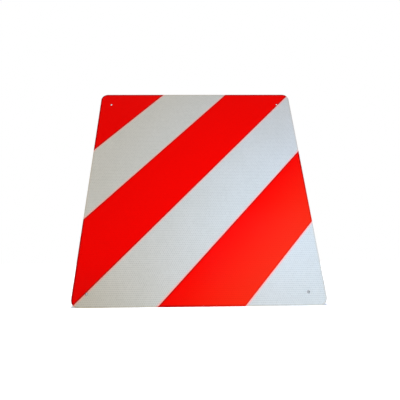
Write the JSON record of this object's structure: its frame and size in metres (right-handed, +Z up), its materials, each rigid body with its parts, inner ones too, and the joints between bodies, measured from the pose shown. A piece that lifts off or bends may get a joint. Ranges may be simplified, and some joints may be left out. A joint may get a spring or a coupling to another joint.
{
  "type": "overhanging load sign",
  "caption": "Square marker board for a load that overhangs a vehicle: aluminium plate faced with white retroreflective sheeting and slanting red stripes, with a fastening hole in each corner.",
  "frame": {"origin": "middle of the bare back face", "axes": "+Z up as the sign hangs, +X to the right seen from the front, the striped face looks along -Y and the bare back along +Y"},
  "size_m": [0.5, 0.0015, 0.5],
  "materials": {
    "plate_aluminium": "mill finish, rolled",
    "clear_adhesive": "clear, tacky",
    "white_film": "white backing film",
    "prismatic_sheeting": "clear film over small prism cells",
    "red_film": "clear red film over the sheeting"
  },
  "bodies": {
    "root": {"backing_plate": "plate_aluminium", "sheeting_adhesive": "clear_adhesive", "seal_film": "white_film", "prism_film": "prismatic_sheeting", "red_corner_stripe": "red_film", "red_centre_stripe": "red_film", "red_lower_stripe": "red_film"}
  },
  "joints": []
}
